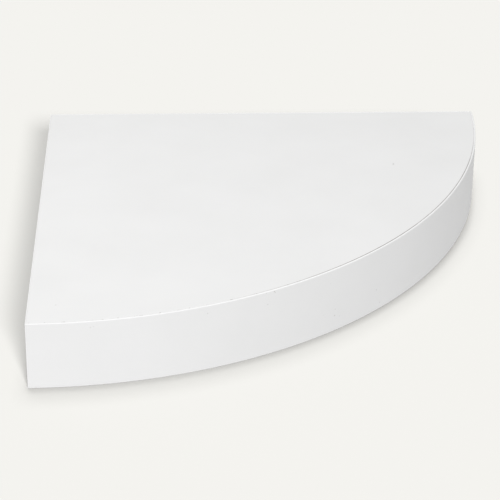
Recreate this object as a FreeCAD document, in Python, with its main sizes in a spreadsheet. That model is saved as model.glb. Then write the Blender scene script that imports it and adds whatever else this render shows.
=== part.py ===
import FreeCAD, Part
import math
import os

import Sketcher

# A quarter-round floating corner shelf: a hollow-core board that slides onto a hidden wall bracket.
# The origin is the room corner at the board's underside. The back wall is the plane y = 0, the side
# wall is the plane x = 0, and the board reaches out along +X and -Y.

# Driving sizes in millimetres, angles in degrees
SIZES = {
    # Board
    "shelf_radius": 250,
    "shelf_thickness": 36,
    "panel_thickness": 3,
    "front_band_thickness": 1,
    "front_band_rounding": 0.5,
    "wall_band_thickness": 0.6,
    "seam_chamfer": 0.2,
    # Frame between the panels
    "back_rail_depth": 40,
    "side_rail_width": 25,
    "front_rail_width": 20,
    "rod_block_width": 40,
    "rod_block_end_wall": 8,
    # Paper core
    "core_cell": 20,
    "core_wall": 0.4,
    "core_clearance": 0.5,
    # Staples across the frame's butt joints
    "staple_crown": 12,
    "staple_leg": 12,
    "staple_wire": 1.2,
    "block_staple_offset": 12,
    # Wall bar and its screw holes
    "bar_inset": 20,
    "bar_length": 180,
    "bar_height": 25,
    "bar_thickness": 3,
    "bar_corner_radius": 5,
    "bar_clearance": 0.5,
    "screw_inset": 15,
    "screw_hole_diameter": 5.5,
    "screw_head_diameter": 9.5,
    "screw_head_angle": 90,
    # Support rods and their welds
    "rod_inset": 35,
    "rod_diameter": 10,
    "rod_length": 100,
    "rod_tip_chamfer": 1.5,
    "rod_clearance": 0.2,
    "rod_end_clearance": 3,
    "spigot_diameter": 7,
    "spigot_clearance": 0.1,
    "weld_leg": 2,
    "weld_clearance": 0.5,
    # How far cutting shapes stand past what they cut
    "overrun": 1,
}

# Sizes and places that follow from the driving sizes. Distances "from the wall" are positive.
PLACES = {
    "mid_height": "=sizes.shelf_thickness / 2",
    "frame_height": "=sizes.shelf_thickness - 2 * sizes.panel_thickness",
    "frame_top": "=sizes.shelf_thickness - sizes.panel_thickness",
    "panel_radius": "=sizes.shelf_radius - sizes.front_band_thickness",
    "back_rail_front": "=sizes.wall_band_thickness + sizes.back_rail_depth",
    "side_rail_face": "=sizes.wall_band_thickness + sizes.side_rail_width",
    "side_rail_middle": "=sizes.wall_band_thickness + sizes.side_rail_width / 2",
    "front_rail_inside": "=panel_radius - sizes.front_rail_width",
    "front_rail_middle": "=panel_radius - sizes.front_rail_width / 2",
    "front_left_angle": "=asin(side_rail_face / front_rail_middle)",
    "front_right_angle": "=90 deg - asin(back_rail_front / front_rail_middle)",
    "front_segment_angle": "=(front_right_angle - front_left_angle) / 3",
    "left_seam_angle": "=front_left_angle + front_segment_angle",
    "right_seam_angle": "=front_right_angle - front_segment_angle",
    "rod_left": "=sizes.bar_inset + sizes.rod_inset",
    "rod_right": "=sizes.bar_inset + sizes.bar_length - sizes.rod_inset",
    "screw_left": "=sizes.bar_inset + sizes.screw_inset",
    "screw_right": "=sizes.bar_inset + sizes.bar_length - sizes.screw_inset",
    "rod_radius": "=sizes.rod_diameter / 2",
    "rod_tip": "=sizes.bar_thickness + sizes.rod_length",
    "bore_radius": "=rod_radius + sizes.rod_clearance",
    "bore_end": "=rod_tip + sizes.rod_end_clearance",
    "block_end": "=bore_end + sizes.rod_block_end_wall",
    "recess_depth": "=sizes.bar_thickness + sizes.bar_clearance",
    "weld_mouth_radius": "=rod_radius + sizes.weld_leg + sizes.weld_clearance",
}

doc = FreeCAD.newDocument("corner_shelf")


def fill_sheet(name, entries):
    sheet = doc.addObject("Spreadsheet::Sheet", name)
    for row, (alias, content) in enumerate(entries.items(), start=1):
        sheet.set(f"A{row}", alias)
        sheet.set(f"B{row}", str(content))
        sheet.setAlias(f"B{row}", alias)
    doc.recompute()
    return sheet


sizes = fill_sheet("sizes", SIZES)
places = fill_sheet("places", PLACES)


def amount(expression):
    """The present value of an expression, as a plain number."""
    result = places.evalExpression(expression)
    return getattr(result, "Value", result)


def bind(piece, **expressions):
    for name, expression in expressions.items():
        piece.setExpression(name, expression)


def put(piece, x="0", y="0", z="0"):
    for axis, expression in zip("xyz", (x, y, z)):
        piece.setExpression(f"Placement.Base.{axis}", expression)


def turn(piece, axis, angle):
    piece.Placement = FreeCAD.Placement(FreeCAD.Vector(), FreeCAD.Rotation(FreeCAD.Vector(*axis), angle))


# Solids and their combinations
def box(name, length, width, height, x="0", y="0", z="0"):
    piece = doc.addObject("Part::Box", name)
    bind(piece, Length=length, Width=width, Height=height)
    put(piece, x, y, z)
    return piece


def upright_cylinder(name, radius):
    """A cylinder about the room corner, as high as the board."""
    piece = doc.addObject("Part::Cylinder", name)
    bind(piece, Radius=radius, Height="sizes.shelf_thickness")
    return piece


def point_into_board(piece, x, distance):
    """Turns a cylinder or cone to run along -Y at a rod's height, starting at a distance from the wall."""
    turn(piece, (1, 0, 0), 90)
    put(piece, x, f"-({distance})", "places.mid_height")


def rod_cylinder(name, radius, x, start, length):
    piece = doc.addObject("Part::Cylinder", name)
    bind(piece, Radius=radius, Height=length)
    point_into_board(piece, x, start)
    return piece


def rod_cone(name, foot_radius, height, x, start):
    """A cone of 45 degrees round a rod's axis. It narrows as it runs into the board."""
    piece = doc.addObject("Part::Cone", name)
    bind(piece, Radius1=foot_radius, Radius2=f"{foot_radius} - ({height})", Height=height)
    point_into_board(piece, x, start)
    return piece


def common(name, base, tool):
    piece = doc.addObject("Part::Common", name)
    piece.Base = base
    piece.Tool = tool
    return piece


def cut(name, base, *tools):
    """Cuts the tools from the base one after another. The last result carries the name."""
    for count, tool in enumerate(tools, start=1):
        step_name = name if count == len(tools) else f"{name}_step_{count}"
        step = doc.addObject("Part::Cut", step_name)
        step.Base = base
        step.Tool = tool
        base = step
    return base


def group(name, pieces):
    piece = doc.addObject("Part::Compound", name)
    piece.Links = pieces
    return piece


# Sketched bodies
def new_body(name):
    return doc.addObject("PartDesign::Body", name)


def new_sketch(body, name, role):
    sketch = body.newObject("Sketcher::SketchObject", name)
    plane = next(feature for feature in body.Origin.OriginFeatures if feature.Role == role)
    sketch.AttachmentSupport = [(plane, "")]
    sketch.MapMode = "FlatFace"
    return sketch


def tie(sketch, curve, point, direction, expression):
    """Holds a line's end or a circle's centre at a distance from the sketch's origin, along X or Y."""
    value = amount(expression)
    if value == 0:
        crossing_axis = -2 if direction == "X" else -1
        sketch.addConstraint(Sketcher.Constraint("PointOnObject", curve, point, crossing_axis))
        return
    ends = (-1, 1, curve, point) if value > 0 else (curve, point, -1, 1)
    measure = expression if value > 0 else f"-({expression})"
    held = sketch.addConstraint(Sketcher.Constraint(f"Distance{direction}", *ends, abs(value)))
    sketch.setExpression(f"Constraints[{held}]", measure)


def polygon(sketch, corners):
    """A closed outline of straight lines. Each corner is a pair of expressions."""
    points = [FreeCAD.Vector(amount(x), amount(y), 0) for x, y in corners]
    count = len(points)
    for index in range(count):
        sketch.addGeometry(Part.LineSegment(points[index], points[(index + 1) % count]), False)
    for index, (x, y) in enumerate(corners):
        sketch.addConstraint(Sketcher.Constraint("Coincident", (index - 1) % count, 2, index, 1))
        tie(sketch, index, 1, "X", x)
        tie(sketch, index, 1, "Y", y)


def circle(sketch, x, y, diameter):
    centre = FreeCAD.Vector(amount(x), amount(y), 0)
    index = sketch.addGeometry(Part.Circle(centre, FreeCAD.Vector(0, 0, 1), amount(diameter) / 2), False)
    tie(sketch, index, 3, "X", x)
    tie(sketch, index, 3, "Y", y)
    held = sketch.addConstraint(Sketcher.Constraint("Diameter", index, amount(diameter)))
    sketch.setExpression(f"Constraints[{held}]", diameter)


def quarter_arc(sketch, radius, start, end):
    """An arc about the sketch's origin, in the quarter between -Y and +X."""
    round_line = Part.Circle(FreeCAD.Vector(), FreeCAD.Vector(0, 0, 1), amount(radius))
    index = sketch.addGeometry(Part.ArcOfCircle(round_line, start, end), False)
    sketch.addConstraint(Sketcher.Constraint("Coincident", index, 3, -1, 1))
    held = sketch.addConstraint(Sketcher.Constraint("Radius", index, amount(radius)))
    sketch.setExpression(f"Constraints[{held}]", radius)
    return index


def pad(body, name, sketch, length):
    feature = body.newObject("PartDesign::Pad", name)
    feature.Profile = sketch
    feature.setExpression("Length", length)
    doc.recompute()
    return feature


def edges_where(feature, test):
    return [f"Edge{index}" for index, edge in enumerate(feature.Shape.Edges, start=1) if test(edge)]


def dress(body, kind, name, base, edges, property_name, expression):
    """A fillet or chamfer on the named edges of a feature."""
    feature = body.newObject(f"PartDesign::{kind}", name)
    feature.Base = (base, edges)
    feature.setExpression(property_name, expression)
    doc.recompute()
    return feature


def same(length, expression):
    return abs(length - amount(expression)) < Part.Precision.confusion()


def is_arc(edge, radius, height):
    round_edge = isinstance(edge.Curve, Part.Circle) and same(edge.Curve.Radius, radius)
    return round_edge and same(edge.CenterOfMass.z, height)


def runs_along_y(edge):
    start, end = (vertex.Point for vertex in edge.Vertexes)
    return same(start.x - end.x, "0") and same(start.z - end.z, "0")


# Board: panels and edge bands
def panel(name, bottom, seam_height):
    """A white-faced quarter disc. Its outer rim is eased where it meets the front edge band."""
    body = new_body(name)
    sketch = new_sketch(body, f"{name}_outline", "XY_Plane")
    radius = amount("places.panel_radius")
    inset = amount("sizes.wall_band_thickness")
    reach = math.sqrt(radius ** 2 - inset ** 2)
    corner = FreeCAD.Vector(inset, -inset, 0)
    back_end = FreeCAD.Vector(reach, -inset, 0)
    side_end = FreeCAD.Vector(inset, -reach, 0)
    back_line = sketch.addGeometry(Part.LineSegment(corner, back_end), False)
    side_line = sketch.addGeometry(Part.LineSegment(side_end, corner), False)
    lean = math.asin(inset / radius)
    rim = quarter_arc(sketch, "places.panel_radius", lean - math.pi / 2, -lean)
    sketch.addConstraint(Sketcher.Constraint("Horizontal", back_line))
    sketch.addConstraint(Sketcher.Constraint("Vertical", side_line))
    sketch.addConstraint(Sketcher.Constraint("Coincident", side_line, 2, back_line, 1))
    sketch.addConstraint(Sketcher.Constraint("Coincident", back_line, 2, rim, 2))
    sketch.addConstraint(Sketcher.Constraint("Coincident", side_line, 1, rim, 1))
    tie(sketch, back_line, 1, "X", "sizes.wall_band_thickness")
    tie(sketch, back_line, 1, "Y", "-sizes.wall_band_thickness")
    plate = pad(body, f"{name}_plate", sketch, "sizes.panel_thickness")
    rims = edges_where(plate, lambda edge: is_arc(edge, "places.panel_radius", seam_height))
    dress(body, "Chamfer", f"{name}_seam", plate, rims, "Size", "sizes.seam_chamfer")
    put(body, z=bottom)
    return body


def front_edge_band():
    """The strip bent round the curved front, eased at the seams and rounded at the outer edges."""
    body = new_body("front_edge_band")
    sketch = new_sketch(body, "front_band_outline", "XY_Plane")
    outer = quarter_arc(sketch, "sizes.shelf_radius", -math.pi / 2, 0)
    inner = quarter_arc(sketch, "places.panel_radius", -math.pi / 2, 0)
    for end, axis in ((1, -2), (2, -1)):
        outer_point = sketch.getPoint(outer, end)
        inner_point = sketch.getPoint(inner, end)
        side = sketch.addGeometry(Part.LineSegment(outer_point, inner_point), False)
        sketch.addConstraint(Sketcher.Constraint("Coincident", side, 1, outer, end))
        sketch.addConstraint(Sketcher.Constraint("Coincident", side, 2, inner, end))
        sketch.addConstraint(Sketcher.Constraint("PointOnObject", outer, end, axis))
        sketch.addConstraint(Sketcher.Constraint("PointOnObject", inner, end, axis))
    strip = pad(body, "front_band_strip", sketch, "sizes.shelf_thickness")
    levels = ("0", "sizes.shelf_thickness")

    def at_levels(radius):
        return lambda edge: any(is_arc(edge, radius, level) for level in levels)

    seams = edges_where(strip, at_levels("places.panel_radius"))
    eased = dress(body, "Chamfer", "front_band_seams", strip, seams, "Size", "sizes.seam_chamfer")
    corners = edges_where(eased, at_levels("sizes.shelf_radius"))
    dress(body, "Fillet", "front_band_rounding", eased, corners, "Radius", "sizes.front_band_rounding")
    return body


def side_edge_band(round_end):
    strip = box(
        "side_band_strip", "sizes.wall_band_thickness", "sizes.shelf_radius", "sizes.shelf_thickness",
        y="-(sizes.shelf_radius + sizes.wall_band_thickness)")
    return common("side_edge_band", strip, round_end)


def back_edge_band(round_end, recess):
    strip = box(
        "back_band_strip", "sizes.shelf_radius", "sizes.wall_band_thickness", "sizes.shelf_thickness",
        y="-sizes.wall_band_thickness")
    return cut("back_edge_band", common("back_band_blank", strip, round_end), recess)


# Frame between the panels
def frame_staple(name, x, y, angle, on_top):
    """A U of square wire: its crown lies along X before it is turned, its legs point into the frame."""
    outer = box(
        f"{name}_outside", "sizes.staple_crown", "sizes.staple_wire", "sizes.staple_leg",
        "-sizes.staple_crown / 2", "-sizes.staple_wire / 2", "-sizes.staple_leg" if on_top else "0")
    inner = box(
        f"{name}_inside", "sizes.staple_crown - 2 * sizes.staple_wire",
        "sizes.staple_wire + 2 * sizes.overrun", "sizes.staple_leg - sizes.staple_wire + sizes.overrun",
        "sizes.staple_wire - sizes.staple_crown / 2", "-(sizes.staple_wire / 2 + sizes.overrun)",
        "-(sizes.staple_leg + sizes.overrun)" if on_top else "sizes.staple_wire")
    piece = cut(name, outer, inner)
    turn(piece, (0, 0, 1), amount(angle))
    piece.setExpression("Placement.Rotation.Angle", angle)
    put(piece, x, y, "places.frame_top" if on_top else "sizes.panel_thickness")
    return piece


def frame_staples():
    """One staple across each butt joint of the frame, above and below."""
    middle = "places.front_rail_middle"
    back_joint = "-places.back_rail_front"
    joints = {
        "side_joint": ("places.side_rail_middle", back_joint, "90 deg"),
        "front_left_joint": (
            "places.side_rail_face", f"-sqrt({middle}^2 - places.side_rail_face^2)", "0 deg"),
        "front_right_joint": (
            f"sqrt({middle}^2 - places.back_rail_front^2)", back_joint, "90 deg"),
        "block_left_joint": ("places.rod_left + sizes.block_staple_offset", back_joint, "90 deg"),
        "block_right_joint": ("places.rod_right + sizes.block_staple_offset", back_joint, "90 deg"),
    }
    for seam in ("left", "right"):
        angle = f"places.{seam}_seam_angle"
        joints[f"{seam}_seam_joint"] = (f"{middle} * sin({angle})", f"-{middle} * cos({angle})", angle)
    staples = [
        frame_staple(f"{joint}_{'top' if on_top else 'bottom'}_staple", *where, on_top)
        for joint, where in joints.items() for on_top in (True, False)]
    return group("frame_staples", staples)


def back_rail(round_end, recess, bores, weld_mouths, staples):
    strip = box(
        "back_rail_strip", "sizes.shelf_radius", "sizes.back_rail_depth", "places.frame_height",
        "sizes.wall_band_thickness", "-places.back_rail_front", "sizes.panel_thickness")
    blank = common("back_rail_blank", strip, round_end)
    return cut("back_rail", blank, recess, *bores, *weld_mouths, staples)


def side_rail(round_end, staples):
    strip = box(
        "side_rail_strip", "sizes.side_rail_width", "sizes.shelf_radius", "places.frame_height",
        "sizes.wall_band_thickness", "-(places.back_rail_front + sizes.shelf_radius)",
        "sizes.panel_thickness")
    return cut("side_rail", common("side_rail_blank", strip, round_end), staples)


def front_rails(hollow, bores, staples):
    """Three curved segments between the side rail and the back rail, sawn from board."""
    room = box(
        "front_rail_room", "sizes.shelf_radius", "sizes.shelf_radius", "places.frame_height",
        "places.side_rail_face", "-(places.back_rail_front + sizes.shelf_radius)",
        "sizes.panel_thickness")
    spans = {
        "left": ("0 deg", "places.left_seam_angle"),
        "middle": ("places.left_seam_angle", "places.right_seam_angle"),
        "right": ("places.right_seam_angle", "90 deg"),
    }
    rails = []
    for side, (start, end) in spans.items():
        wedge = upright_cylinder(f"front_rail_{side}_wedge", "places.panel_radius")
        wedge.setExpression("Angle", f"{end} - {start}")
        turn(wedge, (0, 0, 1), amount(f"{start} - 90 deg"))
        wedge.setExpression("Placement.Rotation.Angle", f"{start} - 90 deg")
        ring = cut(f"front_rail_{side}_ring", wedge, hollow)
        blank = common(f"front_rail_{side}_blank", ring, room)
        rails.append(cut(f"front_rail_{side}", blank, *bores, staples))
    return rails


def rod_block(side, hollow, bore, staples):
    """A solid block that carries on a rod's bore inside the back rail. It keeps inside the front rails."""
    blank = box(
        f"rod_block_{side}_blank", "sizes.rod_block_width", "places.block_end - places.back_rail_front",
        "places.frame_height", f"places.rod_{side} - sizes.rod_block_width / 2", "-places.block_end",
        "sizes.panel_thickness")
    return cut(f"rod_block_{side}", common(f"rod_block_{side}_trimmed", blank, hollow), bore, staples)


def honeycomb_core():
    """Paper walls of hexagonal cells, trimmed to the space that the rails and rod blocks leave.

    Each sheet of it holds at least one whole cell, and smaller scraps are left out.
    """
    gap = sizes.core_clearance
    radius = places.front_rail_inside - gap
    left = places.side_rail_face + gap
    back = places.back_rail_front + gap
    corner = FreeCAD.Vector(left, -back, 0)
    back_end = FreeCAD.Vector(math.sqrt(radius ** 2 - back ** 2), -back, 0)
    side_end = FreeCAD.Vector(left, -math.sqrt(radius ** 2 - left ** 2), 0)
    half_way = (back_end + side_end).normalize() * radius
    outline = Part.Wire([
        Part.LineSegment(side_end, corner).toShape(),
        Part.LineSegment(corner, back_end).toShape(),
        Part.Arc(back_end, half_way, side_end).toShape(),
    ])
    block_width = sizes.rod_block_width + 2 * gap
    block_length = places.block_end + gap - places.back_rail_front
    blocks = [
        Part.makePlane(
            block_width, block_length,
            FreeCAD.Vector(rod - block_width / 2, -(places.block_end + gap), 0))
        for rod in (places.rod_left, places.rod_right)]
    row_step = sizes.core_cell * math.sqrt(3) / 2
    cell_radius = (sizes.core_cell - sizes.core_wall) / math.sqrt(3)
    cells = []
    for row in range(math.ceil(radius / row_step) + 1):
        for column in range(math.ceil(radius / sizes.core_cell) + 1):
            centre = FreeCAD.Vector((column + (row % 2) / 2) * sizes.core_cell, -row * row_step, 0)
            tips = [
                centre + FreeCAD.Vector(math.sin(angle), math.cos(angle), 0) * cell_radius
                for angle in (math.pi / 3 * tip for tip in range(7))]
            cells.append(Part.Face(Part.makePolygon(tips)))
    walls = Part.Face(outline).cut(blocks).cut(cells)
    sheets = [face for face in walls.Faces if len(face.Wires) > 1]
    height = FreeCAD.Vector(0, 0, places.frame_height)
    piece = doc.addObject("Part::Feature", "honeycomb_core")
    piece.Shape = Part.makeCompound([sheet.extrude(height) for sheet in sheets])
    piece.Placement = FreeCAD.Placement(FreeCAD.Vector(0, 0, sizes.panel_thickness), FreeCAD.Rotation())
    return piece


# Wall bracket
def bar_blank(body, name, margin, length):
    """A rounded plate at the bar's place, padded from the wall plane into the board."""
    sketch = new_sketch(body, f"{name}_outline", "XZ_Plane")
    left = f"sizes.bar_inset - {margin}"
    right = f"sizes.bar_inset + sizes.bar_length + {margin}"
    low = f"places.mid_height - sizes.bar_height / 2 - {margin}"
    high = f"places.mid_height + sizes.bar_height / 2 + {margin}"
    polygon(sketch, [(left, low), (right, low), (right, high), (left, high)])
    plate = pad(body, f"{name}_plate", sketch, length)
    corners = edges_where(plate, runs_along_y)
    rounding = f"sizes.bar_corner_radius + {margin}"
    return dress(body, "Fillet", f"{name}_corners", plate, corners, "Radius", rounding)


def bar_recess():
    """The space routed for the bar, open to the wall."""
    body = new_body("bar_recess")
    bar_blank(body, "recess", "sizes.bar_clearance", "places.recess_depth + sizes.overrun")
    put(body, y="sizes.overrun")
    return body


def wall_bar():
    """The steel strip that is screwed to the wall. The rods stand in its two inner holes."""
    body = new_body("wall_bar")
    plate = bar_blank(body, "bar", "0", "sizes.bar_thickness")
    rod_holes = new_sketch(body, "bar_rod_holes", "XZ_Plane")
    rod_hole = "sizes.spigot_diameter + 2 * sizes.spigot_clearance"
    for side in ("left", "right"):
        circle(rod_holes, f"places.rod_{side}", "places.mid_height", rod_hole)
    drilled = body.newObject("PartDesign::Pocket", "bar_drilling")
    drilled.Profile = rod_holes
    drilled.Type = "ThroughAll"
    drilled.Reversed = True
    screw_places = new_sketch(body, "bar_screw_places", "XZ_Plane")
    screw_places.setExpression("AttachmentOffset.Base.z", "sizes.bar_thickness")
    for side in ("left", "right"):
        circle(screw_places, f"places.screw_{side}", "places.mid_height", "sizes.screw_hole_diameter")
    doc.recompute()
    screws = body.newObject("PartDesign::Hole", "bar_screw_holes")
    screws.Profile = screw_places
    screws.DepthType = "ThroughAll"
    screws.HoleCutType = "Countersink"
    screws.HoleCutCustomValues = True
    bind(
        screws, Diameter="sizes.screw_hole_diameter", HoleCutDiameter="sizes.screw_head_diameter",
        HoleCutCountersinkAngle="sizes.screw_head_angle")
    doc.recompute()
    if not plate.Shape.Volume > drilled.Shape.Volume > screws.Shape.Volume:
        raise RuntimeError("The wall bar's holes cut nothing")
    return body


def support_rod(side):
    """A turned rod: a spigot in the bar, a shoulder on the bar's face and a chamfered tip."""
    body = new_body(f"support_rod_{side}")
    sketch = new_sketch(body, f"support_rod_{side}_profile", "XY_Plane")
    spigot = "sizes.spigot_diameter / 2"
    polygon(sketch, [
        ("0", "0"),
        (spigot, "0"),
        (spigot, "-sizes.bar_thickness"),
        ("places.rod_radius", "-sizes.bar_thickness"),
        ("places.rod_radius", "sizes.rod_tip_chamfer - places.rod_tip"),
        ("places.rod_radius - sizes.rod_tip_chamfer", "-places.rod_tip"),
        ("0", "-places.rod_tip"),
    ])
    turned = body.newObject("PartDesign::Revolution", f"support_rod_{side}_turned")
    turned.Profile = sketch
    turned.ReferenceAxis = (sketch, ["V_Axis"])
    put(body, f"places.rod_{side}", "0", "places.mid_height")
    return body


def rod_welds():
    """A fillet weld round the foot of each rod."""
    beads = []
    for side in ("left", "right"):
        x = f"places.rod_{side}"
        bead = rod_cone(
            f"weld_{side}_cone", "places.rod_radius + sizes.weld_leg", "sizes.weld_leg", x,
            "sizes.bar_thickness")
        rod = rod_cylinder(
            f"weld_{side}_rod", "places.rod_radius", x, "sizes.bar_thickness - sizes.overrun",
            "sizes.weld_leg + 2 * sizes.overrun")
        beads.append(cut(f"weld_{side}", bead, rod))
    return group("rod_welds", beads)


# Cutting shapes that several pieces share
def rod_bore(side):
    return rod_cylinder(
        f"rod_bore_{side}", "places.bore_radius", f"places.rod_{side}", "-sizes.overrun",
        "places.bore_end + sizes.overrun")


def weld_mouth(side):
    """The flared mouth of a bore, which clears the weld."""
    depth = "places.weld_mouth_radius - places.bore_radius"
    return rod_cone(
        f"weld_mouth_{side}", "places.weld_mouth_radius", depth, f"places.rod_{side}",
        "places.recess_depth")


def build():
    """Makes every sub-part and returns them with the number of solids that each one has."""
    round_end = upright_cylinder("inside_of_front_band", "places.panel_radius")
    hollow = upright_cylinder("inside_of_front_rails", "places.front_rail_inside")
    recess = bar_recess()
    bores = {side: rod_bore(side) for side in ("left", "right")}
    mouths = {side: weld_mouth(side) for side in ("left", "right")}
    staples = frame_staples()
    core = honeycomb_core()
    single = [
        panel("bottom_panel", "0", "0"),
        panel("top_panel", "places.frame_top", "sizes.panel_thickness"),
        front_edge_band(),
        side_edge_band(round_end),
        back_edge_band(round_end, recess),
        back_rail(round_end, recess, bores.values(), mouths.values(), staples),
        side_rail(round_end, staples),
        *front_rails(hollow, bores.values(), staples),
        *(rod_block(side, hollow, bores[side], staples) for side in ("left", "right")),
        wall_bar(),
        *(support_rod(side) for side in ("left", "right")),
    ]
    welds = rod_welds()
    doc.recompute()
    counts = {piece: 1 for piece in single}
    counts[core] = len(core.Shape.Solids)
    counts[staples] = len(staples.Links)
    counts[welds] = len(welds.Links)
    return counts


def check(counts):
    for piece in doc.Objects:
        if "Invalid" in piece.State or "Error" in piece.State:
            raise RuntimeError(f"{piece.Label} failed: {piece.State}")
    for piece, count in counts.items():
        shape = piece.Shape
        if shape.isNull() or not shape.isValid() or len(shape.Solids) != count:
            raise RuntimeError(f"{piece.Label} isn't {count} valid solid(s)")


def write(counts):
    os.makedirs("parts", exist_ok=True)
    for piece, count in counts.items():
        shape = piece.Shape.Solids[0] if count == 1 else piece.Shape
        shape.exportStep(f"parts/{piece.Label}.step")
        print(f"{piece.Label}: {count} solid(s), {shape.Volume:.1f} mm3")


pieces = build()
check(pieces)
write(pieces)
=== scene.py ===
"""The looks of a quarter-round floating corner shelf: a white hollow-core board on a hidden bracket."""

from math import cos, pi, radians, sin, sqrt

import bmesh
import bpy
from mathutils import Matrix, Vector


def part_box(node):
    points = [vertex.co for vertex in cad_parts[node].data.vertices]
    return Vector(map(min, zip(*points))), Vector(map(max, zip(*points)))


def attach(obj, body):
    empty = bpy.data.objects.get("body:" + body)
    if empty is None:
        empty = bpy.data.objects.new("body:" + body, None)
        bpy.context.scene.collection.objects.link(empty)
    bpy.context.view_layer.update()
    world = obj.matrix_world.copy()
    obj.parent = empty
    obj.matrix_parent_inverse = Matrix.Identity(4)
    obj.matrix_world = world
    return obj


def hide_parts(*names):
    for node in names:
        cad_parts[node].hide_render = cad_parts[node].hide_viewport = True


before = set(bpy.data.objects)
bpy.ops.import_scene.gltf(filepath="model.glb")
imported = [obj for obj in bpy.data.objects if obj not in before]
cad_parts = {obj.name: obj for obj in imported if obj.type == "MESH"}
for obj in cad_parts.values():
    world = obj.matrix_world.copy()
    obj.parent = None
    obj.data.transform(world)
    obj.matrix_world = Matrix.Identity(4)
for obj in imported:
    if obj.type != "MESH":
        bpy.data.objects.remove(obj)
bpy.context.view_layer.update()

MM = 0.001

# Sizes read from the frame, in metres
shelf_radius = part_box("front_edge_band")[1].x
shelf_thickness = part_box("front_edge_band")[1].z
panel_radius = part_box("back_edge_band")[1].x
panel_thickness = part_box("bottom_panel")[1].z
front_band_thickness = shelf_radius - panel_radius
wall_band_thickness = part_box("side_edge_band")[1].x
bar_thickness = -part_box("wall_bar")[0].y
rod_tip_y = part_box("support_rod_left")[0].y
weld_tip_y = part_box("rod_welds")[0].y
rod_height = (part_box("wall_bar")[0].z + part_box("wall_bar")[1].z) / 2
left_rod_x = (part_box("support_rod_left")[0].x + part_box("support_rod_left")[1].x) / 2
right_rod_x = (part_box("support_rod_right")[0].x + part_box("support_rod_right")[1].x) / 2

# Sizes of the turned rods
ROD_RADIUS = 5.0 * MM
SPIGOT_RADIUS = 3.5 * MM
SPIGOT_EASING = 0.25 * MM
ROD_SHOULDER_EASING = 0.3 * MM
ROD_TIP_CHAMFER = 1.5 * MM
ROD_TIP_EASING = 0.3 * MM
ROD_TIP_EASING_RUN = 0.4 * ROD_TIP_EASING

# Sizes of the weld beads, with the crown as a share of the bead's leg
WELD_CROWN_SHARE = 0.66
WELD_RIPPLES = 26
WELD_RIPPLE_HEIGHT = 0.14 * MM

# Easings of the edges
FRONT_ARRIS_ROUNDING = 0.45 * MM
FRONT_SEAM_EASING = 0.2 * MM
BAND_END_EASING = 0.35 * MM
WALL_SEAM_EASING = 0.08 * MM
WALL_BAND_EASING = 0.12 * MM
BAR_EASING = 0.35 * MM
RAIL_EASING = 0.2 * MM
STAPLE_EASING = 0.3 * MM

# How finely round shapes are divided
FRONT_STEPS = 180
ARRIS_STEPS = 7
EASING_STEPS = 2
ROD_STEPS = 64
WELD_STEPS = 208
WELD_CROWN_STEPS = 6

# What counts as one point, as one flat face, as a crease and as a corner to ease
MERGE_REACH = 0.0005 * MM
FLAT_ANGLE = radians(0.5)
CREASE_ANGLE = radians(35)
CORNER_ANGLE = radians(50)

# How much more a broad face counts in the shading of its edges
FLAT_FACE_WEIGHT = 100

# Colours of the finishes, linear
FOIL_BRIGHT = (0.882, 0.882, 0.879, 1)
FOIL_DULL = (0.860, 0.860, 0.856, 1)
BANDING_BRIGHT = (0.880, 0.880, 0.879, 1)
BANDING_DULL = (0.862, 0.862, 0.861, 1)
# Painted highlight for the banding's upper edge
BANDING_PAINTED_HIGHLIGHT = (0.940, 0.940, 0.938, 1)
# Glue line round the front, with painted shade of the seam groove in it
GLUE_LINE_AND_SHADE = (0.40, 0.39, 0.37, 1)
DUST_MARK = (0.45, 0.44, 0.41, 1)
BOARD_LIGHT = (0.66, 0.51, 0.34, 1)
BOARD_DARK = (0.46, 0.33, 0.20, 1)
BOARD_FLECK = (0.30, 0.20, 0.12, 1)
KRAFT_LIGHT = (0.66, 0.50, 0.33, 1)
KRAFT_DARK = (0.50, 0.36, 0.22, 1)
ZINC_BLUE = (0.60, 0.63, 0.67, 1)
ZINC_WARM = (0.72, 0.71, 0.68, 1)
WELD_GREY = (0.40, 0.40, 0.41, 1)
WELD_STRAW = (0.50, 0.40, 0.25, 1)
FLOOR_PALE = (0.905, 0.896, 0.863, 1)
FLOOR_BOUNCE = (0.56, 0.56, 0.56, 1)
WHITE = (1.0, 1.0, 1.0, 1)
BLACK = (0.0, 0.0, 0.0, 1)

# Grains of the finishes: scale and detail of a noise, and its roughness where that isn't 0.5
FOIL_CLOUD_GRAIN = (26.0, 3.0)
FOIL_SATIN_GRAIN = (90.0, 3.0)
FOIL_FACE_GRAIN = (1500.0, 2.0)
BANDING_CLOUD_GRAIN = (34.0, 3.0)
BANDING_SATIN_GRAIN = (110.0, 3.0)
BANDING_WAVE_GRAIN = (220.0, 2.0)
BANDING_PEBBLE_GRAIN = (1300.0, 2.0)
SEAM_FILL_GRAIN = (260.0, 3.0)
SEAM_TICK_GRAIN = (520.0, 2.0)
BOARD_FIBRE_GRAIN = (420.0, 6.0, 0.65)
BOARD_FLECK_GRAIN = (900.0, 2.0)
BOARD_FACE_GRAIN = (700.0, 4.0, 0.6)
SAW_LINE_GRAIN = (1.0, 2.0)
PAPER_FIBRE_GRAIN = (1.0, 5.0, 0.6)
ZINC_BLOOM_GRAIN = (70.0, 4.0)
ZINC_LINE_GRAIN = (1.0, 4.0, 0.6)
WELD_HEAT_GRAIN = (260.0, 3.0)
WELD_SATIN_GRAIN = (800.0, 3.0)
WELD_FACE_GRAIN = (2500.0, 3.0)
WELD_WAVER_GRAIN = (700.0, 2.0)

# The part of a noise's range that counts, in most finishes and in the patchy ones, and its middle
GRAIN_SPAN = (0.3, 0.7)
SEAM_FILL_SPAN = (0.35, 0.6)
SEAM_TICK_SPAN = (0.56, 0.66)
BOARD_FLECK_SPAN = (0.66, 0.74)
WELD_HEAT_SPAN = (0.45, 0.7)
GRAIN_MIDDLE = 0.5

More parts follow.
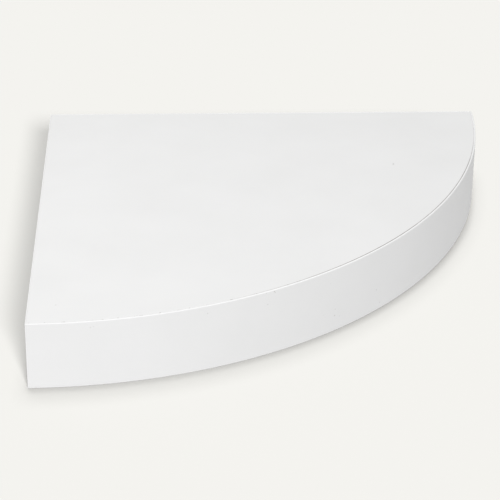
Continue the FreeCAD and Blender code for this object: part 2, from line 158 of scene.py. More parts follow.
# The way that lines run in a finish: along the axes with the smallest numbers
SAW_LINES_ALONG_Z = (1400.0, 1400.0, 60.0)
FIBRES_ACROSS_Z = (300.0, 300.0, 1600.0)
ROLLED_ALONG_X = (60.0, 2400.0, 2400.0)
DRAWN_ALONG_Y = (2400.0, 60.0, 2400.0)

# Roughness of the finishes at both ends of their grain
FOIL_ROUGHNESS = (0.7, 0.78)
FOIL_BACK_ROUGHNESS = 0.9
BANDING_ROUGHNESS = (0.58, 0.68)
BOARD_ROUGHNESS = (0.82, 0.95)
PAPER_ROUGHNESS = (0.8, 0.92)
ZINC_ROUGHNESS = (0.24, 0.36)
ZINC_BLOOM_ROUGHNESS = 0.1
WELD_ROUGHNESS = (0.35, 0.6)

# Depth of the finishes' relief, and how many times as deep as its pebble the banding's waves are
FOIL_RELIEF = 0.01 * MM
BANDING_RELIEF = 0.012 * MM
BANDING_WAVE_TIMES = 2.0
BOARD_RELIEF = 0.12 * MM
PAPER_RELIEF = 0.05 * MM
ZINC_RELIEF = 0.008 * MM
WELD_RELIEF = 0.02 * MM

# Sheen of the finishes
FOIL_SHEEN = {"IOR": 1.45, "Specular IOR Level": 0.1}
BANDING_SHEEN = {"IOR": 1.45, "Specular IOR Level": 0.25}
RAW_SHEEN = {"IOR": 1.4, "Specular IOR Level": 0.2}
METAL_SHEEN = {"Metallic": 1.0}

# The edge of the white facing: how far from a panel's raw inner side it is whole, and where it ends
FACING_EDGE = (0.05 * MM, 0.02 * MM)

# The glue line round the front, with painted shade of its groove: how far off the seam it ends and is
# full, where along X it opens and then tightens, where along Y it closes, and its shares of darkness at
# both ends of each
SEAM_LINE = (0.40 * MM, 0.17 * MM)
SEAM_OPENS_X = (95.0 * MM, 172.0 * MM)
SEAM_OPENS_SHARES = (0.14, 1.0)
SEAM_TIGHTENS_X = (190.0 * MM, 204.0 * MM)
SEAM_TIGHTENS_SHARES = (1.0, 0.76)
SEAM_CLOSES_Y = (-78.0 * MM, -34.0 * MM)
SEAM_CLOSES_SHARES = (1.0, 0.12)
SEAM_FILL_SHARES = (0.8, 1.0)
SEAM_TICK_SHARES = (0.0, 0.65)

# A painted highlight along the upper edge of the banding: how far below the top it begins and is full,
# and where along X it grows stronger
PAINTED_HIGHLIGHT_BELOW_TOP = (0.6 * MM, 0.2 * MM)
PAINTED_HIGHLIGHT_STRONGER_X = (60.0 * MM, 160.0 * MM)
PAINTED_HIGHLIGHT_SHARES = (0.2, 1.0)

# Small marks on the top: X, Y and reach in millimetres, and depth
TOP_MARKS = (
    (195.7, -72.4, 0.7, 0.55),
    (195.5, -73.9, 0.7, 0.55),
    (14.0, -231.5, 0.6, 0.35),
)

# Small marks on the curved front: X, height and reach in millimetres, and depth
FRONT_MARKS = (
    (31.3, 32.6, 0.5, 0.3),
    (32.8, 33.0, 0.4, 0.25),
    (87.9, 31.7, 0.45, 0.42),
    (118.0, 28.7, 0.5, 0.36),
    (117.2, 35.2, 0.4, 0.35),
    (121.3, 35.0, 0.5, 0.6),
    (121.7, 34.4, 0.45, 0.45),
    (147.3, 11.8, 0.4, 0.2),
    (150.8, 28.7, 0.4, 0.2),
    (153.6, 8.9, 0.55, 0.5),
    (153.8, 12.5, 0.5, 0.3),
    (156.3, 7.4, 0.45, 0.25),
    (176.9, 12.3, 0.55, 0.4),
    (179.2, 3.6, 0.5, 0.35),
)

# The share of a mark's reach in which it has its full depth
MARK_CORE_SHARE = 0.2

# The camera, fitted to the board's outlines in a square picture
IMAGE_PIXELS = 500
FOCAL_PIXELS = 1963.61
SENSOR_WIDTH = 36.0
CAMERA_PLACE = Vector((0.0709256, -1.0696876, 0.5025987))
CAMERA_PITCH = radians(27.5404)
CAMERA_YAW = radians(-2.5598)
CAMERA_ROLL = radians(0.5867)

# The floor, and the share of its tone that comes and goes with light on it
FLOOR_HALF = 20.0
FLOOR_DROP = 0.1 * MM
FLOOR_CATCH_SHARE = 0.2

# The close shadow at the foot of the front, which deepens to the right and ends short of the tip
FOOT_REACH = 6.0 * MM
FOOT_DEPTH = 0.39
FOOT_DEEPENS_X = (80.0 * MM, 225.0 * MM)
FOOT_ENDS_X = (238.0 * MM, 248.0 * MM)

# The lamps: where they stand as seen from the board, in degrees round from the front and up
DOME_STRENGTH = 0.568
KEY_ROUND, KEY_UP = -5.0, 28.0
KEY_STRENGTH = 0.448 * pi
KEY_SOFTNESS = radians(40)
BOX_ROUND, BOX_UP = -45.0, 65.0
BOX_DISTANCE = 0.7
BOX_WIDTH = 0.5
BOX_POWER = 1.166
BOX_TARGET = Vector((0.1, -0.1, 0.03))

# Lamps for the board's shadows on the floor: degrees round, up and of softness, and share of its tone
SHADE_LAMPS = {
    "side_shade_lamp": (11.7, 27.2, 11.4, 0.327),
    "back_shade_lamp": (178.0, 72.5, 25.8, 0.173),
    "foot_shade_lamp": (180.0, 85.1, 9.5, 0.176),
}


# Nodes

def add_node(tree, kind, feeds, **settings):
    """Adds a node to a tree. A feed is another node's socket, which is joined, or a plain value."""
    node = tree.nodes.new(kind)
    for setting, value in settings.items():
        setattr(node, setting, value)
    for name, feed in feeds.items():
        if isinstance(feed, bpy.types.NodeSocket):
            tree.links.new(feed, node.inputs[name])
        else:
            node.inputs[name].default_value = feed
    return node


def calculate(tree, operation, first, second=0.0):
    return add_node(tree, "ShaderNodeMath", {0: first, 1: second}, operation=operation).outputs[0]


def spread(tree, value, low, high, to_low=0.0, to_high=1.0):
    """Stretches a value's range from low and high to two other ends."""
    feeds = {"Value": value, "From Min": low, "From Max": high, "To Min": to_low, "To Max": to_high}
    return add_node(tree, "ShaderNodeMapRange", feeds).outputs[0]


def apart(tree, place):
    """The X, Y and Z of a place, by name."""
    return add_node(tree, "ShaderNodeSeparateXYZ", {0: place}).outputs


def new_finish(name):
    finish = bpy.data.materials.new(name)
    finish.use_nodes = True
    finish.node_tree.nodes.clear()
    return finish, finish.node_tree


def object_place(tree):
    return add_node(tree, "ShaderNodeTexCoord", {}).outputs["Object"]


def noise(tree, place, scale, detail, roughness=0.5):
    feeds = {"Vector": place, "Scale": scale, "Detail": detail, "Roughness": roughness}
    return add_node(tree, "ShaderNodeTexNoise", feeds).outputs[0]


def patches(tree, place, grain, span=GRAIN_SPAN, ends=(0.0, 1.0)):
    """A noise of the given grain, with the span of it that counts stretched to two ends."""
    return spread(tree, noise(tree, place, *grain), *span, *ends)


def stretched(tree, place, scale):
    return add_node(tree, "ShaderNodeMapping", {"Vector": place, "Scale": scale}).outputs[0]


def mix_colours(tree, factor, first, second):
    node = add_node(tree, "ShaderNodeMix", {0: factor, 6: first, 7: second}, data_type="RGBA")
    return node.outputs[2]


def surface_of(tree, colour, roughness, height, relief, sheen):
    """The surface shader of a finish, with a bump of the given relief from a height."""
    bump = add_node(tree, "ShaderNodeBump", {"Height": height, "Distance": relief, "Strength": 1.0})
    feeds = {"Base Color": colour, "Roughness": roughness, "Normal": bump.outputs[0], **sheen}
    surface = add_node(tree, "ShaderNodeBsdfPrincipled", feeds)
    add_node(tree, "ShaderNodeOutputMaterial", {"Surface": surface.outputs[0]})


# Finishes

def glue_line_and_groove_shade(tree, place):
    """A mask for the glue line round the front, with painted shade of its groove: fine ticks on the left,
    widest past the middle.
    """
    flat = add_node(tree, "ShaderNodeVectorMath", {0: place, 1: (1, 1, 0)}, operation="MULTIPLY")
    reach = add_node(tree, "ShaderNodeVectorMath", {0: flat.outputs[0]}, operation="LENGTH")
    off_seam = calculate(tree, "SUBTRACT", reach.outputs["Value"], panel_radius)
    line = spread(tree, calculate(tree, "ABSOLUTE", off_seam), *SEAM_LINE)
    along = apart(tree, place)
    opening = spread(tree, along["X"], *SEAM_OPENS_X, *SEAM_OPENS_SHARES)
    tightening = spread(tree, along["X"], *SEAM_TIGHTENS_X, *SEAM_TIGHTENS_SHARES)
    closing = spread(tree, along["Y"], *SEAM_CLOSES_Y, *SEAM_CLOSES_SHARES)
    filled = patches(tree, place, SEAM_FILL_GRAIN, SEAM_FILL_SPAN, SEAM_FILL_SHARES)
    for share in (opening, tightening, closing):
        filled = calculate(tree, "MULTIPLY", filled, share)
    ticks = patches(tree, place, SEAM_TICK_GRAIN, SEAM_TICK_SPAN, SEAM_TICK_SHARES)
    ticks = calculate(tree, "MULTIPLY", ticks, closing)
    return calculate(tree, "MULTIPLY", line, calculate(tree, "MAXIMUM", filled, ticks))


def dust_marks(tree, place, marks):
    """A mask of small soft marks, each given as its centre, reach and depth."""
    mask = 0.0
    for centre, reach, depth in marks:
        distance = add_node(tree, "ShaderNodeVectorMath", {0: place, 1: centre}, operation="DISTANCE")
        mark = spread(tree, distance.outputs["Value"], reach, MARK_CORE_SHARE * reach, 0.0, depth)
        mask = calculate(tree, "MAXIMUM", mark, mask)
    return mask


def top_dust(tree, place):
    """The marks on the top face."""
    marks = []
    for x, y, reach, depth in TOP_MARKS:
        marks.append(((x * MM, y * MM, shelf_thickness), reach * MM, depth))
    return dust_marks(tree, place, marks)


def front_dust(tree, place):
    """The marks on the curved front, whose Y follows from its radius."""
    marks = []
    for x, z, reach, depth in FRONT_MARKS:
        y = -sqrt(shelf_radius ** 2 - (x * MM) ** 2)
        marks.append(((x * MM, y, z * MM), reach * MM, depth))
    return dust_marks(tree, place, marks)


def fibreboard_tone(tree, place):
    """The brown of raw fibreboard, with pale and dark fibres in it."""
    tone = mix_colours(tree, patches(tree, place, BOARD_FIBRE_GRAIN), BOARD_DARK, BOARD_LIGHT)
    return mix_colours(tree, patches(tree, place, BOARD_FLECK_GRAIN, BOARD_FLECK_SPAN), tone, BOARD_FLECK)


def white_foil():
    """Satin white facing on the panels' outer side and edges, raw fibreboard on their inner side."""
    finish, tree = new_finish("white_foil")
    place = object_place(tree)
    tone = mix_colours(tree, patches(tree, place, FOIL_CLOUD_GRAIN), FOIL_DULL, FOIL_BRIGHT)
    # The glue line, with painted shade of the seam groove, strongest past the middle
    tone = mix_colours(tree, glue_line_and_groove_shade(tree, place), tone, GLUE_LINE_AND_SHADE)
    tone = mix_colours(tree, top_dust(tree, place), tone, DUST_MARK)
    off_middle = calculate(tree, "SUBTRACT", apart(tree, place)["Z"], shelf_thickness / 2)
    inner_face = shelf_thickness / 2 - panel_thickness
    facing_whole, facing_end = (inner_face + edge for edge in FACING_EDGE)
    raw_side = spread(tree, calculate(tree, "ABSOLUTE", off_middle), facing_whole, facing_end)
    tone = mix_colours(tree, raw_side, tone, fibreboard_tone(tree, place))
    satin = patches(tree, place, FOIL_SATIN_GRAIN, ends=FOIL_ROUGHNESS)
    rough = calculate(tree, "MAXIMUM", satin, calculate(tree, "MULTIPLY", raw_side, FOIL_BACK_ROUGHNESS))
    surface_of(tree, tone, rough, noise(tree, place, *FOIL_FACE_GRAIN), FOIL_RELIEF, FOIL_SHEEN)
    return finish


def white_banding():
    """Satin white edge banding: a fine pebble, a painted highlight along its upper edge, the glue line
    with painted shade of its groove, and marks.
    """
    finish, tree = new_finish("white_banding")
    place = object_place(tree)
    tone = mix_colours(tree, patches(tree, place, BANDING_CLOUD_GRAIN), BANDING_DULL, BANDING_BRIGHT)
    along = apart(tree, place)
    # A painted highlight along the banding's upper edge, stronger towards the right
    highlight_begun, highlight_full = (shelf_thickness - below for below in PAINTED_HIGHLIGHT_BELOW_TOP)
    upper_edge = spread(tree, along["Z"], highlight_begun, highlight_full)
    stronger_highlight = spread(tree, along["X"], *PAINTED_HIGHLIGHT_STRONGER_X, *PAINTED_HIGHLIGHT_SHARES)
    tone = mix_colours(tree, calculate(tree, "MULTIPLY", upper_edge, stronger_highlight), tone, BANDING_PAINTED_HIGHLIGHT)
    # The glue line, with painted shade of the seam groove, strongest past the middle
    tone = mix_colours(tree, glue_line_and_groove_shade(tree, place), tone, GLUE_LINE_AND_SHADE)
    tone = mix_colours(tree, front_dust(tree, place), tone, DUST_MARK)
    satin = patches(tree, place, BANDING_SATIN_GRAIN, ends=BANDING_ROUGHNESS)
    waves = calculate(tree, "MULTIPLY", noise(tree, place, *BANDING_WAVE_GRAIN), BANDING_WAVE_TIMES)
    pebble = calculate(tree, "ADD", waves, noise(tree, place, *BANDING_PEBBLE_GRAIN))
    surface_of(tree, tone, satin, pebble, BANDING_RELIEF, BANDING_SHEEN)
    return finish


def raw_fibreboard():
    """Sawn fibreboard: brown fibres, and the saw's fine lines across the cut."""
    finish, tree = new_finish("raw_fibreboard")
    place = object_place(tree)
    saw_lines = noise(tree, stretched(tree, place, SAW_LINES_ALONG_Z), *SAW_LINE_GRAIN)
    height = calculate(tree, "ADD", noise(tree, place, *BOARD_FACE_GRAIN), saw_lines)
    rough = spread(tree, saw_lines, *GRAIN_SPAN, *BOARD_ROUGHNESS)
    surface_of(tree, fibreboard_tone(tree, place), rough, height, BOARD_RELIEF, RAW_SHEEN)
    return finish


def kraft_paper():
    """Brown paper with long fibres, for the honeycomb."""
    finish, tree = new_finish("kraft_paper")
    place = object_place(tree)
    fibres = noise(tree, stretched(tree, place, FIBRES_ACROSS_Z), *PAPER_FIBRE_GRAIN)
    tone = mix_colours(tree, spread(tree, fibres, *GRAIN_SPAN), KRAFT_DARK, KRAFT_LIGHT)
    rough = spread(tree, fibres, *GRAIN_SPAN, *PAPER_ROUGHNESS)
    surface_of(tree, tone, rough, fibres, PAPER_RELIEF, RAW_SHEEN)
    return finish


def zinc_plating(name, rolling):
    """Bright zinc over rolled or drawn steel, whose fine lines run the way that is stretched least."""
    finish, tree = new_finish(name)
    place = object_place(tree)
    bloom = patches(tree, place, ZINC_BLOOM_GRAIN)
    lines = noise(tree, stretched(tree, place, rolling), *ZINC_LINE_GRAIN)
    tone = mix_colours(tree, bloom, ZINC_BLUE, ZINC_WARM)
    rough = calculate(tree, "ADD", spread(tree, lines, *GRAIN_SPAN, *ZINC_ROUGHNESS),
                      calculate(tree, "MULTIPLY", bloom, ZINC_BLOOM_ROUGHNESS))
    surface_of(tree, tone, rough, lines, ZINC_RELIEF, METAL_SHEEN)
    return finish


def weld_metal():
    """Dull bead metal with straw-coloured heat tint in patches."""
    finish, tree = new_finish("weld_metal")
    place = object_place(tree)
    tone = mix_colours(tree, patches(tree, place, WELD_HEAT_GRAIN, WELD_HEAT_SPAN), WELD_GREY, WELD_STRAW)
    rough = patches(tree, place, WELD_SATIN_GRAIN, ends=WELD_ROUGHNESS)
    surface_of(tree, tone, rough, noise(tree, place, *WELD_FACE_GRAIN), WELD_RELIEF, METAL_SHEEN)
    return finish


# Shapes

def put_in_scene(name, data):
    """A new object in the scene that holds the given mesh, lamp or camera."""
    thing = bpy.data.objects.new(name, data)
    bpy.context.scene.collection.objects.link(thing)
    return thing


def keep_result(piece):
    """Puts what a piece's modifiers make of it in place of its mesh."""
    evaluated = piece.evaluated_get(bpy.context.evaluated_depsgraph_get())
    mesh = bpy.data.meshes.new_from_object(evaluated)
    piece.modifiers.clear()
    piece.data = mesh


def even_shading(piece):
    """Lets a piece's broad faces stay flat in the light, and its eased edges turn beside them."""
    weighting = piece.modifiers.new("even_shading", "WEIGHTED_NORMAL")
    weighting.keep_sharp = True
    weighting.weight = FLAT_FACE_WEIGHT
    keep_result(piece)


def hand_over(piece, body, node):
    """Gives a finished piece to its body, as the stand-in for a node."""
    even_shading(piece)
    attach(piece, body)
    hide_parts(node)


def smooth_faces(mesh):
    """Smooth shading, apart from across creases."""
    mesh.shade_smooth()
    mesh.set_sharp_from_angle(angle=CREASE_ANGLE)


def clean_shape(mesh):
    """A working copy of a mesh with its doubled points merged and its faces pointing outwards."""
    shape = bmesh.new()
    shape.from_mesh(mesh)
    bmesh.ops.remove_doubles(shape, verts=shape.verts, dist=MERGE_REACH)
    bmesh.ops.recalc_face_normals(shape, faces=shape.faces)
    return shape


def keep_shape(shape, mesh):
    """Ends a working copy: it goes into a mesh, which is smoothed."""
    shape.to_mesh(mesh)
    shape.free()
    smooth_faces(mesh)


def ease_corners(shape, easing, mesh):
    """Bevels a shape's sharp edges and keeps the result in a mesh."""
    corners = [edge for edge in shape.edges
               if edge.is_manifold and edge.calc_face_angle() > CORNER_ANGLE]
    bmesh.ops.bevel(shape, geom=corners, offset=easing, segments=EASING_STEPS, profile=0.5,
                    affect="EDGES", clamp_overlap=True)
    keep_shape(shape, mesh)


def eased_copy(node, name, easing, finish):
    """A copy of a node's solid with its sharp edges bevelled."""
    mesh = bpy.data.meshes.new(name)
    shape = clean_shape(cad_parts[node].data)
    bmesh.ops.dissolve_limit(shape, angle_limit=FLAT_ANGLE, verts=shape.verts, edges=shape.edges)
    ease_corners(shape, easing, mesh)
    mesh.materials.append(finish)
    return put_in_scene(name, mesh)


def skin_rings(name, rings, finish):
    """A closed mesh from rings of points, one after the other, with a face across each end."""
    mesh = bpy.data.meshes.new(name)
    shape = bmesh.new()
    rows = [[shape.verts.new(point) for point in ring] for ring in rings]
    for lower, upper in zip(rows, rows[1:]):
        for here in range(len(lower)):
            there = (here + 1) % len(lower)
            shape.faces.new((lower[here], lower[there], upper[there], upper[here]))
    shape.faces.new(rows[0][::-1])
    shape.faces.new(rows[-1])
    bmesh.ops.recalc_face_normals(shape, faces=shape.faces)
    keep_shape(shape, mesh)
    mesh.materials.append(finish)
    return put_in_scene(name, mesh)


def panel_outline(radius, inset, height):
    """The quarter-round outline of a panel inside its bands, as points at one height."""
    side = wall_band_thickness + inset
    reach = sqrt(radius ** 2 - side ** 2)
    lean = side / radius
    points = [(side, -side, height), (side, -reach, height)]
    for step in range(1, FRONT_STEPS):
        angle = -pi / 2 + lean + (pi / 2 - 2 * lean) * step / FRONT_STEPS
        points.append((radius * cos(angle), radius * sin(angle), height))
    points.append((reach, -side, height))
    return points


def face_panel(name, inner, outer, finish):
    """A panel between two heights, with its outer rim eased along the seams."""
    inwards = 1 if inner > outer else -1
    front_rim = outer + inwards * FRONT_SEAM_EASING
    wall_rim = outer + inwards * WALL_SEAM_EASING
    rings = [
        panel_outline(panel_radius, 0.0, inner),
        panel_outline(panel_radius, 0.0, front_rim),
        panel_outline(panel_radius - FRONT_SEAM_EASING + WALL_SEAM_EASING, 0.0, wall_rim),
        panel_outline(panel_radius - FRONT_SEAM_EASING, WALL_SEAM_EASING, outer),
    ]
    return skin_rings(name, rings, finish)


def turned_rod(name, axis_x, finish):
    """A support rod on its axis: spigot, shoulder, shaft and chamfered tip."""
    foot_y = -bar_thickness
    chamfer_y = rod_tip_y + ROD_TIP_CHAMFER
    tip_radius = ROD_RADIUS - ROD_TIP_CHAMFER
    profile = [
        (SPIGOT_RADIUS - SPIGOT_EASING, 0.0),
        (SPIGOT_RADIUS, -SPIGOT_EASING),
        (SPIGOT_RADIUS, foot_y),
        (ROD_RADIUS - ROD_SHOULDER_EASING, foot_y),
        (ROD_RADIUS, foot_y - ROD_SHOULDER_EASING),
        (ROD_RADIUS, chamfer_y + ROD_TIP_EASING),
        (ROD_RADIUS - ROD_TIP_EASING_RUN, chamfer_y - ROD_TIP_EASING_RUN),
        (tip_radius + ROD_TIP_EASING_RUN, rod_tip_y + ROD_TIP_EASING_RUN),
        (tip_radius - ROD_TIP_EASING, rod_tip_y),
    ]
    turns = [2 * pi * step / ROD_STEPS for step in range(ROD_STEPS)]
    rings = []
    for radius, y in profile:
        rings.append([(axis_x + radius * cos(turn), y, rod_height + radius * sin(turn))
                      for turn in turns])
    return skin_rings(name, rings, finish)


def new_shape_tree(name, sizes):
    """An empty geometry tree with named inputs, given as name and socket kind."""
    tree = bpy.data.node_groups.new(name, "GeometryNodeTree")
    tree.interface.new_socket("Geometry", in_out="OUTPUT", socket_type="NodeSocketGeometry")
    for size, kind in sizes.items():
        tree.interface.new_socket(size, in_out="INPUT", socket_type="NodeSocket" + kind)
    return tree, add_node(tree, "NodeGroupInput", {}).outputs


def end_shape_tree(tree, geometry, finish):
    """Closes a geometry tree: its instances are made real and take their finish."""
    real = add_node(tree, "GeometryNodeRealizeInstances", {"Geometry": geometry}).outputs[0]
    dressed = add_node(tree, "GeometryNodeSetMaterial", {"Geometry": real, "Material": finish})
    add_node(tree, "NodeGroupOutput", {"Geometry": dressed.outputs[0]})


def make_from_tree(name, tree, sizes):
    """Runs a geometry tree with the given sizes and keeps its result as a plain mesh."""
    piece = put_in_scene(name, bpy.data.meshes.new(name + "_blank"))
    modifier = piece.modifiers.new(name, "NODES")
    modifier.node_group = tree
    for item in tree.interface.items_tree:
        if item.in_out == "INPUT":
            modifier[item.identifier] = sizes[item.name]
    keep_result(piece)
    return piece


def front_band(name, finish):
    """The strip round the curved front: its rounded section swept along the arc."""
    tree, sizes = new_shape_tree("front_band_sweep", {
        "Radius": "Float", "Thickness": "Float", "Height": "Float",
        "Arris Rounding": "Float", "Seam Easing": "Float", "Steps": "Int", "Arris Steps": "Int"})
    half_thickness = calculate(tree, "DIVIDE", sizes["Thickness"], 2.0)
    arc = add_node(tree, "GeometryNodeCurveArc", {
        "Resolution": sizes["Steps"],
        "Radius": calculate(tree, "SUBTRACT", sizes["Radius"], half_thickness),
        "Start Angle": -pi / 2,
        "Sweep Angle": pi / 2})
    section = add_node(tree, "GeometryNodeCurvePrimitiveQuadrilateral", {
        "Width": sizes["Thickness"], "Height": sizes["Height"]})
    corner = apart(tree, add_node(tree, "GeometryNodeInputPosition", {}).outputs[0])
    outside = calculate(tree, "GREATER_THAN", corner["X"], 0.0)
    rounding = add_node(tree, "ShaderNodeMix", {
        0: outside, 2: sizes["Seam Easing"], 3: sizes["Arris Rounding"]}, data_type="FLOAT")
    rounded = add_node(tree, "GeometryNodeFilletCurve", {
        "Curve": section.outputs[0], "Count": sizes["Arris Steps"], "Radius": rounding.outputs[0]},
        mode="POLY")
    swept = add_node(tree, "GeometryNodeCurveToMesh", {
        "Curve": arc.outputs[0], "Profile Curve": rounded.outputs[0], "Fill Caps": True})
    middle = calculate(tree, "DIVIDE", sizes["Height"], 2.0)
    lift = add_node(tree, "ShaderNodeCombineXYZ", {"Z": middle})
    raised = add_node(tree, "GeometryNodeTransform", {
        "Geometry": swept.outputs[0], "Translation": lift.outputs[0]})
    end_shape_tree(tree, raised.outputs[0], finish)
    band = make_from_tree(name, tree, {
        "Radius": shelf_radius, "Thickness": front_band_thickness, "Height": shelf_thickness,
        "Arris Rounding": FRONT_ARRIS_ROUNDING, "Seam Easing": FRONT_SEAM_EASING,
        "Steps": FRONT_STEPS, "Arris Steps": ARRIS_STEPS})
    ease_corners(clean_shape(band.data), BAND_END_EASING, band.data)
    return band


def weld_beads(name, finish):
    """The fillet welds: a crowned section swept round each rod's foot, and rippled along the bead."""
    tree, sizes = new_shape_tree("weld_bead_sweep", {
        "Rod Radius": "Float", "Leg": "Float", "Crown": "Float", "Crown Steps": "Int", "Steps": "Int",
        "Ripples": "Float", "Ripple Height": "Float", "First Foot": "Vector", "Next Foot": "Vector"})
    foot_ring = add_node(tree, "GeometryNodeCurvePrimitiveCircle", {
        "Resolution": sizes["Steps"], "Radius": sizes["Rod Radius"]}, mode="RADIUS")
    crown = calculate(tree, "MULTIPLY", sizes["Leg"], sizes["Crown"])
    on_bar = add_node(tree, "ShaderNodeCombineXYZ", {"X": sizes["Leg"]})
    on_crown = add_node(tree, "ShaderNodeCombineXYZ", {"X": crown, "Y": crown})
    on_rod = add_node(tree, "ShaderNodeCombineXYZ", {"Y": sizes["Leg"]})
    section = add_node(tree, "GeometryNodeCurvePrimitiveQuadrilateral", {
        "Point 1": (0.0, 0.0, 0.0), "Point 2": on_bar.outputs[0],
        "Point 3": on_crown.outputs[0], "Point 4": on_rod.outputs[0]}, mode="POINTS")
    corner = apart(tree, add_node(tree, "GeometryNodeInputPosition", {}).outputs[0])
    on_top = calculate(tree, "MULTIPLY", calculate(tree, "GREATER_THAN", corner["X"], 0.0),
                       calculate(tree, "GREATER_THAN", corner["Y"], 0.0))
    rounded = add_node(tree, "GeometryNodeFilletCurve", {
        "Curve": section.outputs[0], "Count": sizes["Crown Steps"], "Limit Radius": True,
        "Radius": calculate(tree, "MULTIPLY", on_top, sizes["Leg"])}, mode="POLY")
    swept = add_node(tree, "GeometryNodeCurveToMesh", {
        "Curve": foot_ring.outputs[0], "Profile Curve": rounded.outputs[0]})
    place = add_node(tree, "GeometryNodeInputPosition", {}).outputs[0]
    on_bead = apart(tree, place)
    bearing = calculate(tree, "ARCTAN2", on_bead["Y"], on_bead["X"])
    wave = calculate(tree, "SINE", calculate(tree, "MULTIPLY", bearing, sizes["Ripples"]))
    waver = calculate(tree, "SUBTRACT", noise(tree, place, *WELD_WAVER_GRAIN), GRAIN_MIDDLE)
    ripple = calculate(tree, "MULTIPLY", calculate(tree, "ADD", wave, waver), sizes["Ripple Height"])
    outwards = add_node(tree, "GeometryNodeInputNormal", {}).outputs[0]
    push = add_node(tree, "ShaderNodeVectorMath", {0: outwards, "Scale": ripple}, operation="SCALE")
    rippled = add_node(tree, "GeometryNodeSetPosition", {
        "Geometry": swept.outputs[0], "Offset": push.outputs[0]})
    feet = add_node(tree, "GeometryNodeMeshLine", {
        "Count": 2, "Start Location": sizes["First Foot"], "Offset": sizes["Next Foot"]})
    beads = add_node(tree, "GeometryNodeInstanceOnPoints", {
        "Points": feet.outputs[0], "Instance": rippled.outputs[0], "Rotation": (pi / 2, 0.0, 0.0)})
    end_shape_tree(tree, beads.outputs[0], finish)
    welds = make_from_tree(name, tree, {
        "Rod Radius": ROD_RADIUS, "Leg": -weld_tip_y - bar_thickness, "Crown": WELD_CROWN_SHARE,
        "Crown Steps": WELD_CROWN_STEPS, "Steps": WELD_STEPS,
        "Ripples": float(WELD_RIPPLES), "Ripple Height": WELD_RIPPLE_HEIGHT,
        "First Foot": (left_rod_x, -bar_thickness, rod_height),
        "Next Foot": (right_rod_x - left_rod_x, 0.0, 0.0)})
    keep_shape(clean_shape(welds.data), welds.data)
    return welds


# The floor and the lamps

def seen_directly(tree):
    """One for what the camera sees, straight or in a reflection, and nought for light on its way."""
    path = add_node(tree, "ShaderNodeLightPath", {}).outputs
    shiny = calculate(tree, "MAXIMUM", path["Is Glossy Ray"], path["Is Transmission Ray"])
    return calculate(tree, "MAXIMUM", path["Is Camera Ray"], shiny)


def foot_shadow(tree):
    """How much darker the floor is right in front of what stands on it."""
    opening = add_node(tree, "ShaderNodeAmbientOcclusion", {"Distance": FOOT_REACH}).outputs["AO"]
    along = apart(tree, object_place(tree))["X"]
    depth = calculate(tree, "MULTIPLY", spread(tree, along, *FOOT_DEEPENS_X, 0.0, FOOT_DEPTH),
                      spread(tree, along, *FOOT_ENDS_X, 1.0, 0.0))
    return calculate(tree, "MULTIPLY", calculate(tree, "SUBTRACT", 1.0, opening), depth)


def pale_floor():
    """An even pale tone that catches the board's shadows, and throws plain grey light back at it."""
    finish, tree = new_finish("pale_floor")
    shaded_share = sum(share for around, up, softness, share in SHADE_LAMPS.values())
    even_share = 1.0 - shaded_share - FLOOR_CATCH_SHARE * DOME_STRENGTH
    tone = mix_colours(tree, foot_shadow(tree), FLOOR_PALE, BLACK)
    caught = add_node(tree, "ShaderNodeBsdfDiffuse", {
        "Color": mix_colours(tree, FLOOR_CATCH_SHARE, BLACK, tone)})
    even = add_node(tree, "ShaderNodeEmission", {"Color": tone, "Strength": even_share})
    seen = add_node(tree, "ShaderNodeAddShader", {0: caught.outputs[0], 1: even.outputs[0]})
    thrown_back = add_node(tree, "ShaderNodeEmission", {"Color": FLOOR_BOUNCE})
    both = add_node(tree, "ShaderNodeMixShader", {
        0: seen_directly(tree), 1: thrown_back.outputs[0], 2: seen.outputs[0]})
    add_node(tree, "ShaderNodeOutputMaterial", {"Surface": both.outputs[0]})
    return finish


def wide_floor():
    """A broad square just under the board."""
    mesh = bpy.data.meshes.new("floor")
    corners = ((-1, -1), (1, -1), (1, 1), (-1, 1))
    mesh.from_pydata([(x * FLOOR_HALF, y * FLOOR_HALF, -FLOOR_DROP) for x, y in corners],
                     [], [(0, 1, 2, 3)])
    mesh.materials.append(pale_floor())
    return put_in_scene("floor", mesh)


def studio_world():
    """An even white dome that lights the board, behind a backdrop in the floor's tone."""
    world = bpy.data.worlds.new("studio")
    world.use_nodes = True
    room = world.node_tree
    room.nodes.clear()
    dome = add_node(room, "ShaderNodeBackground", {"Color": WHITE, "Strength": DOME_STRENGTH})
    backdrop = add_node(room, "ShaderNodeBackground", {"Color": FLOOR_PALE, "Strength": 1.0})
    studio = add_node(room, "ShaderNodeMixShader", {
        0: seen_directly(room), 1: dome.outputs[0], 2: backdrop.outputs[0]})
    add_node(room, "ShaderNodeOutputWorld", {"Surface": studio.outputs[0]})
    return world


def fitted_camera():
    """The camera, at the place and with the turns that fit the board's outlines."""
    lens = bpy.data.cameras.new("camera")
    lens.sensor_width = SENSOR_WIDTH
    lens.lens = FOCAL_PIXELS / IMAGE_PIXELS * SENSOR_WIDTH
    camera = put_in_scene("camera", lens)
    camera.matrix_world = (
        Matrix.Translation(CAMERA_PLACE)
        @ Matrix.Rotation(CAMERA_YAW, 4, "Z")
        @ Matrix.Rotation(pi / 2 - CAMERA_PITCH, 4, "X")
        @ Matrix.Rotation(CAMERA_ROLL, 4, "Z"))
    return camera


def lamp_direction(round_degrees, up_degrees):
    """The direction from the board to a lamp."""
    around, up = radians(round_degrees), radians(up_degrees)
    return Vector((sin(around) * cos(up), -cos(around) * cos(up), sin(up)))


def set_lamp(name, lamp, direction, place):
    """Puts a lamp in its place, turned back along the direction from the board to it."""
    stand = put_in_scene(name, lamp)
    stand.location = place
    stand.rotation_euler = direction.to_track_quat("Z", "Y").to_euler()
    return stand


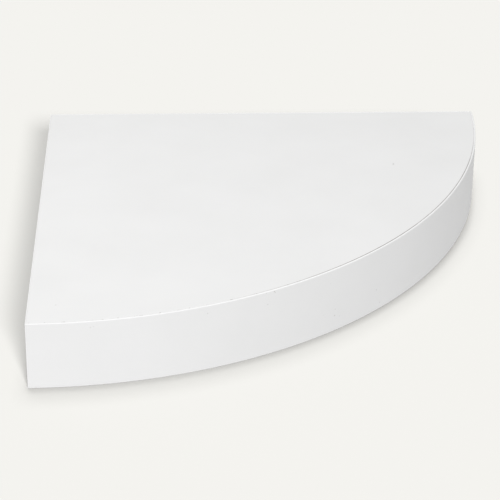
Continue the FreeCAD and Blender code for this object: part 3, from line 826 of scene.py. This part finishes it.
def sun_lamp(name, direction, strength, softness):
    lamp = bpy.data.lights.new(name, "SUN")
    lamp.energy = strength
    lamp.angle = softness
    return set_lamp(name, lamp, direction, BOX_TARGET)


def disk_lamp(name, direction, power, width):
    lamp = bpy.data.lights.new(name, "AREA")
    lamp.shape = "DISK"
    lamp.size = width
    lamp.energy = power
    return set_lamp(name, lamp, direction, BOX_TARGET + BOX_DISTANCE * direction)


def light_floor(stand, floor, choice):
    """Keeps a lamp's light to the floor alone, or off the floor."""
    reach = bpy.data.collections.new(stand.name + "_reach")
    reach.objects.link(floor)
    reach.collection_objects[0].light_linking.link_state = choice
    stand.light_linking.receiver_collection = reach


# The board

foil = white_foil()
banding = white_banding()
fibreboard = raw_fibreboard()
paper = kraft_paper()
bar_zinc = zinc_plating("zinc_bar", ROLLED_ALONG_X)
rod_zinc = zinc_plating("zinc_rod", DRAWN_ALONG_Y)
bead_metal = weld_metal()

hand_over(face_panel("top_face_panel", shelf_thickness - panel_thickness, shelf_thickness, foil),
          "shelf_board", "top_panel")
hand_over(face_panel("under_face_panel", panel_thickness, 0.0, foil),
          "shelf_board", "bottom_panel")
hand_over(front_band("curved_front_band", banding), "shelf_board", "front_edge_band")
hand_over(eased_copy("side_edge_band", "side_wall_band", WALL_BAND_EASING, banding),
          "shelf_board", "side_edge_band")
hand_over(eased_copy("back_edge_band", "back_wall_band", WALL_BAND_EASING, banding),
          "shelf_board", "back_edge_band")
hand_over(eased_copy("back_rail", "rear_frame_rail", RAIL_EASING, fibreboard),
          "shelf_board", "back_rail")
hand_over(eased_copy("frame_staples", "frame_wire_staples", STAPLE_EASING, bar_zinc),
          "shelf_board", "frame_staples")

for rail in ("side_rail", "front_rail_left", "front_rail_middle", "front_rail_right",
             "rod_block_left", "rod_block_right"):
    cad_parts[rail].material_slots[0].material = fibreboard
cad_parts["honeycomb_core"].material_slots[0].material = paper

# The bracket

hand_over(eased_copy("wall_bar", "bracket_bar", BAR_EASING, bar_zinc),
          "wall_bracket", "wall_bar")
hand_over(turned_rod("bracket_rod_left", left_rod_x, rod_zinc),
          "wall_bracket", "support_rod_left")
hand_over(turned_rod("bracket_rod_right", right_rod_x, rod_zinc),
          "wall_bracket", "support_rod_right")
hand_over(weld_beads("bracket_weld_beads", bead_metal), "wall_bracket", "rod_welds")

# The stage

scene = bpy.context.scene
scene.view_settings.view_transform = "Standard"

shelf_floor = wide_floor()
scene.camera = fitted_camera()
scene.world = studio_world()

key_direction = lamp_direction(KEY_ROUND, KEY_UP)
key = sun_lamp("front_key", key_direction, KEY_STRENGTH, KEY_SOFTNESS)
light_floor(key, shelf_floor, "EXCLUDE")

softbox = disk_lamp("softbox", lamp_direction(BOX_ROUND, BOX_UP), BOX_POWER, BOX_WIDTH)
light_floor(softbox, shelf_floor, "EXCLUDE")

# A sun of strength pi, straight above, lights the floor to the colour that it catches
for lamp_name, (around, up, softness, share) in SHADE_LAMPS.items():
    strength = share / FLOOR_CATCH_SHARE * pi / sin(radians(up))
    shade_lamp = sun_lamp(lamp_name, lamp_direction(around, up), strength, radians(softness))
    light_floor(shade_lamp, shelf_floor, "INCLUDE")
